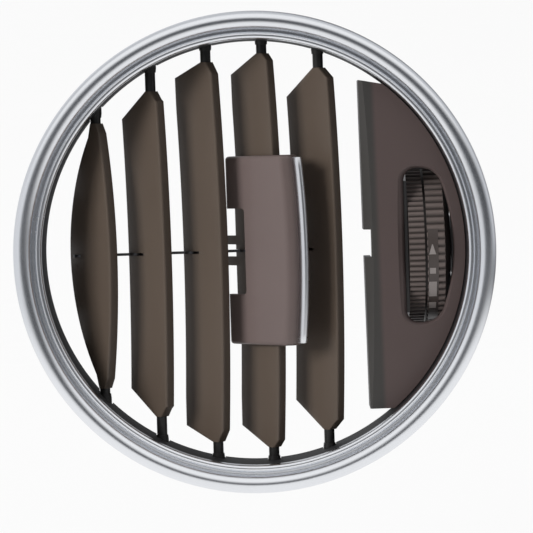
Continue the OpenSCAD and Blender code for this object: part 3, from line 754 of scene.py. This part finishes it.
@dataclass
class Shell:
    """Collects points in millimetres and faces, and turns them into one piece."""

    verts: list[Point] = field(default_factory=list)
    faces: list[tuple[int, ...]] = field(default_factory=list)

    def loft(self, rings: Sequence[Sequence[Point]], closed: bool = False) -> None:
        """Joins rings of equal length into a skin.

        Args:
            rings: The rings, each a closed loop of points.
            closed: Whether the last ring joins the first one, instead of a cap on both.
        """
        base = len(self.verts)
        count = len(rings[0])
        for ring in rings:
            self.verts.extend(ring)
        spans = len(rings) if closed else len(rings) - 1
        for j in range(spans):
            here = base + j * count
            there = base + (j + 1) % len(rings) * count
            for k in range(count):
                step = (k + 1) % count
                self.faces.append((here + k, here + step, there + step, there + k))
        if not closed:
            self.faces.append(tuple(base + k for k in reversed(range(count))))
            last = base + (len(rings) - 1) * count
            self.faces.append(tuple(last + k for k in range(count)))

    def rod(self, start: Point, end: Point, profile: Sequence[Flat], steps: int = 32) -> None:
        """Turns a profile about the line from start to end.

        Args:
            start: Where the line starts.
            end: Where it ends.
            profile: Pairs of share along the line and radius.
            steps: How many sides the turned form has.
        """
        low = Vector(start)
        way = Vector(end) - low
        side = way.orthogonal().normalized()
        other = way.normalized().cross(side)
        rings = []
        for share, radius in profile:
            centre = low + way * share
            rings.append([tuple(centre + radius * (math.cos(a) * side + math.sin(a) * other))
                          for a in (math.tau * k / steps for k in range(steps))])
        self.loft(rings)

    def turned(self, centre: Flat, section: Sequence[Flat], steps: int = 48) -> None:
        """Turns a closed section of radius and height about an upright line.

        Args:
            centre: The line's x and y.
            section: The section's corners.
            steps: How many sides the turned form has.
        """
        rings = []
        for a in (math.tau * k / steps for k in range(steps)):
            x, y = math.cos(a), math.sin(a)
            rings.append([(centre[0] + r * x, centre[1] + r * y, z) for r, z in section])
        self.loft(rings, closed=True)

    def block(self, low: Point, high: Point) -> None:
        """Adds a straight block between two corners."""
        (x0, y0, z0), (x1, y1, z1) = low, high
        self.loft([[(x0, y0, z), (x1, y0, z), (x1, y1, z), (x0, y1, z)] for z in (z0, z1)])

    def prism(self, outline: Sequence[Flat], axis: str, low: float, high: float) -> None:
        """Extrudes a flat outline along an axis.

        Args:
            outline: Its points, as y and z along "x", or x and y along "z".
            axis: The way it is extruded.
            low: Where it starts.
            high: Where it ends.
        """
        place = {
            "x": lambda p, a: (a, p[0], p[1]),
            "z": lambda p, a: (p[0], p[1], a),
        }[axis]
        self.loft([[place(p, a) for p in outline] for a in (low, high)])

    def moved(self, move: Callable[[Point], Point]) -> Shell:
        """A copy with every point moved by a function."""
        return Shell([move(v) for v in self.verts], list(self.faces))

    def piece(self, name: str, crease: float = 32) -> Piece:
        """Makes a piece of the shell, smooth but for edges sharper than a crease.

        Args:
            name: The piece's name.
            crease: The angle from which an edge stays sharp, in degrees.

        Returns:
            The new object.
        """
        made = add_mesh(name, [(x * MM, y * MM, z * MM) for x, y, z in self.verts], self.faces)
        tidy_mesh(made, crease)
        return made


def tidy_mesh(made: Piece, crease: float) -> None:
    """Joins doubled points, turns all faces outward and shades the piece smooth up to a crease.

    Args:
        made: The piece.
        crease: The angle from which an edge stays sharp, in degrees.
    """
    work = bmesh.new()
    work.from_mesh(made.data)
    bmesh.ops.remove_doubles(work, verts=work.verts, dist=0.000001)
    bmesh.ops.dissolve_degenerate(work, edges=work.edges, dist=0.0000005)
    bmesh.ops.recalc_face_normals(work, faces=work.faces)
    for face in work.faces:
        face.smooth = True
    work.to_mesh(made.data)
    work.free()
    made.data.set_sharp_from_angle(angle=math.radians(crease))


def apply_modifiers(made: Piece) -> None:
    """Turns a piece's modifiers into its mesh.

    Args:
        made: The piece.
    """
    graph = bpy.context.evaluated_depsgraph_get()
    data = bpy.data.meshes.new_from_object(made.evaluated_get(graph))
    made.modifiers.clear()
    made.data = data


def cut(made: Piece, tool: Shell) -> None:
    """Cuts a shell out of a piece.

    Args:
        made: The piece that is cut.
        tool: What is cut out of it.
    """
    cutter = tool.piece("cutter")
    change = made.modifiers.new("cut", "BOOLEAN")
    change.operation = "DIFFERENCE"
    change.solver = "EXACT"
    change.use_self = True
    change.object = cutter
    apply_modifiers(made)
    bpy.data.objects.remove(cutter)
    tidy_mesh(made, CREASE)


def bevel(made: Piece, width: float, angle: float, segments: int) -> None:
    """Rounds the sharp edges of a piece.

    Args:
        made: The piece.
        width: Width of the rounding, in millimetres.
        angle: Edges sharper than this are rounded, in degrees.
        segments: Faces across the rounding.
    """
    change = made.modifiers.new("bevel", "BEVEL")
    change.width = width * MM
    change.segments = segments
    change.limit_method = "ANGLE"
    change.angle_limit = math.radians(angle)
    change.use_clamp_overlap = True
    apply_modifiers(made)
    tidy_mesh(made, CREASE)


def to_rest(pivot_x: float) -> Callable[[Point], Point]:
    """Makes the move from a vane's own width, depth and height to its place at rest.

    Args:
        pivot_x: Where the vane's pivot stands.

    Returns:
        The function that moves one point.
    """
    cos, sin = math.cos(math.radians(REST_TURN)), math.sin(math.radians(REST_TURN))
    return lambda p: (pivot_x + p[0] * cos - p[1] * sin, PIVOT_Y + p[0] * sin + p[1] * cos, p[2])


@dataclass
class SubAssembly:
    """What every sub-assembly shares: its dresser and its body."""

    dresser: Dresser

    def place(self, piece: Piece, seat: Seat, slot: str, *nodes: str,
              finish: str = "") -> None:
        """Dresses a piece, seats it on its body and hides the nodes it stands for.

        Args:
            piece: The new piece.
            seat: The body that it rides on.
            slot: The material slot of its finish.
            nodes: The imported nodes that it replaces.
            finish: Its finish, where this isn't the slot's own.
        """
        self.dresser.dress(piece, slot, finish)
        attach(piece, seat.value)
        if nodes:
            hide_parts(*nodes)
        LOG.info("%s: %d faces, rides on %s", piece.name, len(piece.data.polygons), seat.value)


@dataclass
class BezelRing(SubAssembly):
    """The bright ring: two rounded beads with a groove between them, and a slotted skirt."""

    outer_r: float = 48.0
    bead_w: float = 3.6
    groove_w: float = 0.5
    lip_w: float = 1.4
    bead_h: float = 6.0
    lip_h: float = 4.4
    flank_h: float = 4.2
    lip_flank_h: float = 3.75
    groove_drop: float = 0.25
    skirt_l: float = 7.0
    skirt_t: float = 1.0
    rebate_r: float = 45.7
    rebate_d: float = 0.8
    slot_half: float = 1.35
    slot_z: Flat = (20.0, 46.0)
    bead_arc: Flat = (0.0, 160.0)
    lip_arc: Flat = (20.0, 180.0)
    groove_lean: float = 0.02
    steps: int = 288

    @staticmethod
    def dome(centre: float, base: float, half: float, rise: float, arc: Flat) -> list[Flat]:
        """Part of an ellipse from the outside in, as radius and height."""
        return [(centre + half * math.cos(math.radians(a)), base + rise * math.sin(math.radians(a)))
                for a in spread(*arc, 26)]

    def profile(self) -> list[Flat]:
        """The ring's section as radius and height in front of the seat."""
        groove_r1 = self.outer_r - self.bead_w
        groove_r0 = groove_r1 - self.groove_w
        opening_r = groove_r0 - self.lip_w
        skirt_r = opening_r + self.skirt_t
        bead = self.dome(self.outer_r - self.bead_w / 2, self.flank_h, self.bead_w / 2,
                         self.bead_h - self.flank_h, self.bead_arc)
        lip = self.dome(opening_r + self.lip_w / 2, self.lip_flank_h, self.lip_w / 2,
                        self.lip_h - self.lip_flank_h, self.lip_arc)
        floor = lip[0][1] - self.groove_drop
        return (
            [(self.outer_r, 0.0)] + bead
            + [(groove_r1 - self.groove_lean, floor), (groove_r0 + self.groove_lean, floor)] + lip
            + [(opening_r, -self.skirt_l), (skirt_r, -self.skirt_l), (skirt_r, self.rebate_d),
               (self.rebate_r, self.rebate_d), (self.rebate_r, 0.0)]
        )

    def build(self) -> None:
        """Builds the ring."""
        body = Shell()
        body.turned((0.0, 0.0), self.profile(), self.steps)
        ring = body.moved(lambda p: (p[0], -p[2], p[1])).piece("bright_ring", CREASE)
        slots = Shell()
        for x in VANE_X:
            for side in (-1, 1):
                outline = [(x + side_x * self.slot_half, self.skirt_l + 1) for side_x in (1, -1)]
                outline += arc_points((x, PIVOT_Y), self.slot_half, 180, 360, 16)
                slots.prism(outline, "z", side * self.slot_z[0], side * self.slot_z[1])
        cut(ring, slots)
        self.place(ring, Seat.HOUSING, "satin_chrome", "bezel_ring")


@dataclass
class Vane(SubAssembly):
    """One upright vane: a bowed blade with rounded edges, flared necks and pivot pins."""

    number: int
    pivot_x: float
    tail_z: float
    shoulder_z: float
    neck_z: float
    pin_end: float
    nose_u: float = 4.7
    tail_u: float = 8.3
    half_t: float = 1.15
    tail_half_t: float = 0.65
    taper_u: float = 1.4
    edge_r: float = 0.42
    edge_gap: float = 0.15
    bow_r: float = 532.0
    pin_r: float = 1.05
    neck_flare: float = 0.08
    neck_l: float = 1.2
    notch_u: float = 3.4
    notch_half: float = 0.27
    web_v: float = 0.3
    crank_u: float = 6.2
    crank_r: float = 0.6
    round_nose_r: float = 150.0
    round_tail_r: float = 44.3
    round_tail_u: float = 9.0
    round_nose_in: float = 0.2
    tail_bow: Flat = (0.4, 0.5)
    shoulder_in: float = 1.1
    neck_side: float = 0.1
    pin_edge: float = 0.15
    neck_bend: float = 1.3
    neck_share: float = 1.2
    crank_over: float = 0.3
    slot_zone: float = 1.2
    z_step: float = 1.6
    crease: float = 34.0

    @property
    def is_round(self) -> bool:
        """Whether this is the first vane, whose nose and tail are curved."""
        return self.number == 1

    def nose_at(self, z: float) -> float:
        """Depth of the nose at a height, before the ends are cut."""
        first, radius = (self.round_nose_in, self.round_nose_r) if self.is_round else (0.0, self.bow_r)
        return first - self.nose_u + sag(radius, z)

    def tail_at(self, z: float) -> float:
        """Depth of the tail at a height, before the ends are cut.

        Args:
            z: The height.

        Returns:
            The depth.
        """
        if self.is_round:
            return self.round_tail_u - sag(self.round_tail_r, z)
        most = self.tail_bow[0] + self.tail_bow[1] * abs(z) / self.tail_z
        return self.tail_u + min(sag(self.bow_r, z), most)

    def reach(self, z: float) -> Flat:
        """Nose and tail of the blade at a height, with its ends cut to the necks.

        Args:
            z: The height.

        Returns:
            Depth of the nose and depth of the tail.
        """
        height = abs(z)
        nose = self.nose_at(z)
        tail = self.tail_at(z)
        neck = self.pin_r + self.neck_side
        if height > self.shoulder_z:
            share = (height - self.shoulder_z) / (self.neck_z - self.shoulder_z)
            first = max(self.nose_at(self.shoulder_z), -self.nose_u + self.shoulder_in)
            nose = first + (-neck - first) * share
        if height > self.tail_z:
            share = (height - self.tail_z) / (self.neck_z - self.tail_z)
            first = self.tail_at(self.tail_z)
            tail = first + (neck - first) * share
        return (nose, tail)

    def half_at(self, u: float) -> float:
        """Half thickness of the blade at a depth.

        Args:
            u: The depth.

        Returns:
            The half thickness.
        """
        end = self.round_tail_u if self.is_round else self.tail_u
        share = min(1.0, max(0.0, (u - self.taper_u) / (end - self.taper_u)))
        return self.half_t + (self.tail_half_t - self.half_t) * share

    def section(self, nose: float, tail: float, z: float) -> list[Point]:
        """One level of the blade: a closed loop with two rounded nose edges and a rounded tail.

        Args:
            nose: Depth of the nose.
            tail: Depth of the tail.
            z: The level's height.

        Returns:
            The loop.
        """
        back = self.half_at(tail)
        edge = self.edge_r
        side = arc_points((nose + edge, self.half_t - edge), edge, 180, 90, 5)
        side += [(u, self.half_at(u)) for u in spread(nose + edge + self.edge_gap, tail - back, 6)[1:-1]]
        side += arc_points((tail - back, 0), back, 88, 0, 5)
        loop = side + [(u, -v) for u, v in reversed(side[:-1])]
        return [(v, u, z) for u, v in loop]

    def notched(self, nose: float, tail: float, z: float) -> list[Point]:
        """The blade's section at the strip's slot, which is blind in the first and last vane.

        Args:
            nose: Depth of the nose.
            tail: Depth of the tail.
            z: The section's height.

        Returns:
            The loop.
        """
        if 1 < self.number < len(VANE_X):
            return self.section(nose, self.notch_u, z)
        keep = min if self.number == 1 else max
        web = -self.web_v if self.number == 1 else self.web_v
        loop = self.section(nose, tail, z)
        return [(keep(v, web) if u > self.notch_u else v, u, z) for v, u, z in loop]

    def levels(self) -> list[float]:
        """Heights at which the blade gets a section, from bottom to top."""
        count = int(self.neck_z / self.z_step)
        marks = set(round(z, 3) for z in spread(0, self.neck_z, count))
        marks |= {round(self.tail_z, 3), round(self.shoulder_z, 3)}
        upper = sorted(z for z in marks if z > self.slot_zone)
        return [-z for z in reversed(upper)] + upper

    def blade(self, shell: Shell) -> None:
        """Adds the blade, with the slot for the link strip behind the pivot.

        Args:
            shell: What the blade is added to.
        """
        rings = [self.section(*self.reach(z), z) for z in self.levels() if z < 0]
        half = self.notch_half
        nose, tail = self.reach(0)
        rings.append(self.section(nose, tail, -half))
        rings += [self.notched(nose, tail, z) for z in (-half, half)]
        rings.append(self.section(nose, tail, half))
        rings += [self.section(*self.reach(z), z) for z in self.levels() if z > 0]
        shell.loft(rings)

    def necks(self, shell: Shell) -> None:
        """Adds the two flared necks and pivot pins.

        Args:
            shell: What they are added to.
        """
        foot = self.neck_z - self.neck_l
        flare = self.neck_l * self.neck_share / (self.pin_end - foot)
        profile = [(0, 0.3), (0.001, self.pin_r + self.neck_flare)]
        profile += [(flare * s, self.pin_r + self.neck_flare * (1 - s) ** self.neck_bend)
                    for s in spread(0.1, 1, 8)]
        profile += [(1 - 0.02, self.pin_r), (1, self.pin_r - self.pin_edge)]
        for side in (-1, 1):
            shell.rod((0, 0, side * foot), (0, 0, side * self.pin_end), profile)

    def crank(self, shell: Shell, half: float) -> None:
        """Adds the crank pin across the slot."""
        ends = ((0, self.crank_u, -half), (0, self.crank_u, half))
        shell.rod(*ends, [(0, self.crank_r), (1, self.crank_r)], 24)

    def build(self) -> None:
        """Builds the vane and seats it on its body."""
        seat = Seat(f"vane_{self.number}")
        shell = Shell()
        self.blade(shell)
        self.crank(shell, self.notch_half + self.crank_over)
        move = to_rest(self.pivot_x)
        piece = shell.moved(move).piece(f"blade_{self.number}", self.crease)
        self.place(piece, seat, "vane_plastic", f"vane_{self.number}")
        pins = Shell()
        self.necks(pins)
        self.place(pins.moved(move).piece(f"pins_{self.number}", self.crease), seat, "bush_plastic")


@dataclass
class DrivingVane(Vane):
    """The fourth vane, which carries the knob and has two lugs that frame the link strip."""

    lug_h: float = 1.8
    lug_gap: float = 2.5
    lug_u: float = 11.6
    deep_u: float = 8.9
    deep_z: float = 9.6

    def blade(self, shell: Shell) -> None:
        """Adds the blade with its two lugs and the strip's slot between them.

        Args:
            shell: What the blade is added to.
        """
        inner = self.lug_gap / 2
        tail = self.deep_u
        upper = [(self.notch_half, self.notch_u, tail), (inner, tail, self.lug_u),
                 (inner + self.lug_h, self.lug_u, tail), (self.deep_z, tail, self.reach(self.deep_z)[1])]
        ends = [(-z, after, before) for z, before, after in reversed(upper)] + upper
        rings = [self.section(*self.reach(z), z) for z in self.levels() if z < -self.deep_z]
        for z, before, after in ends:
            rings += [self.section(self.reach(z)[0], u, z) for u in (before, after)]
        rings += [self.section(*self.reach(z), z) for z in self.levels() if z > self.deep_z]
        shell.loft(rings)


@dataclass(frozen=True)
class VanePlan:
    """Where one vane stands, how deep it is, and how far its corners stay inside the opening."""

    pivot_x: float
    nose_u: float
    tail_u: float
    tail_in: float
    shoulder_in: float
    neck_in: float
    pin_in: float = 0.3

    def height(self, inset: float) -> float:
        """Half height on the pivot line, a given distance inside the opening."""
        return chord(OPENING_R, self.pivot_x) - inset

    def pin_end(self) -> float:
        """Half height of the pin's end in its bush."""
        return chord(BARREL_R, abs(self.pivot_x) + BUSH_R) - self.pin_in

    def build(self, dresser: Dresser, number: int) -> None:
        """Builds the vane of this plan.

        Args:
            dresser: What dresses the vane.
            number: The vane's number, from the left.
        """
        kind = DrivingVane if number == 4 else Vane
        kind(dresser, number, self.pivot_x, self.height(self.tail_in), self.height(self.shoulder_in),
             self.height(self.neck_in), self.pin_end(), nose_u=self.nose_u, tail_u=self.tail_u).build()


VANE_PLANS = (
    VanePlan(VANE_X[0], 4.4, 8.3, 4.75, 3.95, 1.95),
    VanePlan(VANE_X[1], 3.7, 8.0, 9.9, 6.7, 4.6),
    VanePlan(VANE_X[2], 3.85, 8.1, 6.0, 5.6, 3.2),
    VanePlan(VANE_X[3], 3.75, 7.9, 6.5, 4.1, 2.6),
    VanePlan(VANE_X[4], 4.5, 8.0, 9.1, 5.7, 3.6),
)


@dataclass
class BushRow(SubAssembly):
    """Five pivot bushes above or below the vanes, each with a narrow coned head."""

    side: int
    bore_r: float = 1.12
    head_r: float = 1.2
    head_flare: float = 0.1
    head_l: float = 0.9
    body_r: float = BUSH_R
    wall_r: float = 43.8
    proud: float = 0.8

    def build(self) -> None:
        """Builds the row."""
        shell = Shell()
        for x in VANE_X:
            low = chord(OPENING_R, x) - self.proud
            high = chord(BARREL_R, abs(x) + self.body_r)
            wall = chord(self.wall_r, max(0.0, abs(x) - self.body_r))
            coned = self.head_r + self.head_flare
            section = [(self.bore_r, low), (self.head_r, low), (coned, low + self.head_l), (coned, wall),
                       (self.body_r, wall), (self.body_r, high), (self.bore_r, high)]
            shell.turned((x, PIVOT_Y), [(r, self.side * z) for r, z in section])
        row = "upper" if self.side > 0 else "lower"
        self.place(shell.piece(f"{row}_pivots"), Seat.HOUSING, "bush_plastic", f"{row}_bushes")


@dataclass
class Knob(SubAssembly):
    """The sliding knob on the fourth vane: a hollow grip with two windows, and its bright fin."""

    middle_z: float = 0.2
    half_h: float = 19.1
    bow_r: float = 146.0
    front: tuple[Flat, ...] = ((1.0, -9.2), (2.05, -8.3), (2.6, -7.8))
    rear: Flat = (3.84, 8.0)
    slot_half: float = 1.3
    slot_u: float = -5.15
    hollow_half: float = 2.5
    cap_t: float = 1.4
    window_h: float = 8.7
    left_window: Flat = (3.0, 10.0)
    right_window: Flat = (0.8, 10.0)
    window_r: float = 0.7
    cheeks: Flat = (-6.0, 1.0)
    cheek_t: float = 5.0
    hollow_step: float = 0.1
    hollow_sink: float = 0.2
    cut_z: float = 30.0
    edge_r: float = 0.75
    fin_half: float = 0.62
    fin_neck: float = 0.3
    fin_root: float = -9.7
    fin_tip: float = -11.2
    fin_h: float = 18.6
    fin_foot: float = -8.7
    fin_lean: float = 0.1
    fin_round: float = 0.25
    fin_edge_r: float = 0.12

    def bow(self, z: float) -> float:
        """How far the front has bowed back at a height."""
        return sag(self.bow_r, z - self.middle_z)

    def heights(self) -> list[float]:
        """Heights at which the knob gets a section."""
        return spread(self.middle_z - self.half_h, self.middle_z + self.half_h, 20)

    def grip(self) -> Piece:
        """The brown grip, with its slot, its hollow and its two windows."""
        shell = Shell()
        rings = []
        for z in self.heights():
            side = [(v, u + self.bow(z)) for v, u in self.front] + [self.rear]
            rings.append([(v, u, z) for v, u in side] + [(-v, u, z) for v, u in reversed(side)])
        shell.loft(rings)
        move = to_rest(VANE_X[3])
        grip = shell.moved(move).piece("knob_body")
        bevel(grip, self.edge_r, 25, 4)
        hollow = Shell()
        end = self.rear[1] + 1
        reach = self.half_h - self.cap_t
        hollow.block((-self.slot_half, self.slot_u, -self.cut_z), (self.slot_half, end, self.cut_z))
        narrow = self.slot_half - self.hollow_step
        start = self.slot_u + self.hollow_sink
        wide = [(-narrow, start), (narrow, start), (self.hollow_half, end), (-self.hollow_half, end)]
        hollow.prism(wide, "z", self.middle_z - reach, self.middle_z + reach)
        cut(grip, hollow.moved(move))
        windows = Shell()
        for low, (u0, u1) in zip(self.cheeks, (self.left_window, self.right_window)):
            outline = rounded_box(u0, u1, -self.window_h, self.window_h, self.window_r)
            windows.prism(outline, "x", low, low + self.cheek_t)
        cut(grip, windows.moved(move))
        return grip

    def fin(self) -> Piece:
        """The bright fin along the grip's front, on a narrow neck."""
        shell = Shell()
        half, neck, root, tip = self.fin_half, self.fin_neck, self.fin_root, self.fin_tip
        side = [(neck, self.fin_foot), (neck, root), (half, root - self.fin_lean),
                (half, tip + self.fin_round), (half - self.fin_round, tip)]
        outline = side + [(-v, u) for v, u in reversed(side)]
        rings = []
        for z in spread(self.middle_z - self.fin_h, self.middle_z + self.fin_h, 20):
            rings.append([(v, u + self.bow(z), z) for v, u in outline])
        shell.loft(rings)
        fin = shell.moved(to_rest(VANE_X[3])).piece("knob_trim", 40)
        bevel(fin, self.fin_edge_r, 50, 2)
        return fin

    def build(self) -> None:
        """Builds the knob's pieces and seats them."""
        self.place(self.grip(), Seat.KNOB, "knob_plastic", "knob_grip")
        self.place(self.fin(), Seat.KNOB, "bright_trim", "knob_fin")


@dataclass
class SlotShadeBlocks(SubAssembly):
    """Dark blocks behind the two long sides of the wheel's slot, put there as painted shade."""

    left: tuple[Point, Point] = ((30.25, 1.2, -13.2), (30.85, 6.0, 13.2))
    right: tuple[Point, Point] = ((39.62, 1.6, -5.5), (39.95, 6.0, 5.5))

    def build(self) -> None:
        """Builds both dark blocks as one piece."""
        shell = Shell()
        for low, high in (self.left, self.right):
            shell.block(low, high)
        # Painted shade: dark plastic blocks where the gaps beside the wheel lie in shadow.
        self.place(shell.piece("slot_shade_blocks"), Seat.HOUSING, "dark_plastic")


@dataclass
class WheelMarks(SubAssembly):
    """The plain pale marks printed on the thumbwheel's smooth strip."""

    axis_y: float = 16.1
    inner_r: float = 16.8
    outer_r: float = 16.95
    middle_x: float = 35.6
    boxes: tuple[tuple[float, float, float], ...] = (
        (-14.8, -18.9, 0.6), (-24.9, -37.0, 0.8), (-42.8, -48.6, 0.7))
    arrow: tuple[float, float, float] = (1.5, -5.3, 0.7)
    arrow_tip: float = 0.08

    def plate(self, shell: Shell, start: float, end: float, half_start: float, half_end: float) -> None:
        """Adds one thin curved plate between two angles below the wheel's front.

        Args:
            shell: What the plate is added to.
            start: Its first angle, in degrees.
            end: Its last angle, in degrees.
            half_start: Its half width at the first angle.
            half_end: Its half width at the last angle.
        """
        inner, outer = self.inner_r, self.outer_r
        rings = []
        for share in spread(0, 1, 8):
            angle = math.radians(start + (end - start) * share)
            half = half_start + (half_end - half_start) * share
            ring = []
            for x, r in ((-half, inner), (half, inner), (half, outer), (-half, outer)):
                ring.append((self.middle_x + x, self.axis_y - r * math.cos(angle), r * math.sin(angle)))
            rings.append(ring)
        shell.loft(rings)

    def build(self) -> None:
        """Builds the marks."""
        shell = Shell()
        for start, end, half in self.boxes:
            self.plate(shell, start, end, half, half)
        self.plate(shell, self.arrow[0], self.arrow[1], self.arrow_tip, self.arrow[2])
        self.place(shell.piece("wheel_marks"), Seat.WHEEL, "mark_plastic", finish="mark_print")


def main() -> None:
    """Builds the dressed vent and its studio."""
    logging.basicConfig(level=logging.INFO, format="%(name)s: %(message)s")
    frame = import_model()
    studio = Studio()
    studio.build()
    dresser = Dresser(frame)
    dresser.dress_nodes()
    BezelRing(dresser).build()
    for side in (-1, 1):
        BushRow(dresser, side).build()
    for number, plan in enumerate(VANE_PLANS, 1):
        plan.build(dresser, number)
    Knob(dresser).build()
    WheelMarks(dresser).build()
    # Dark blocks as painted shade beside the wheel's slot.
    SlotShadeBlocks(dresser).build()


if __name__ == "__main__":
    main()
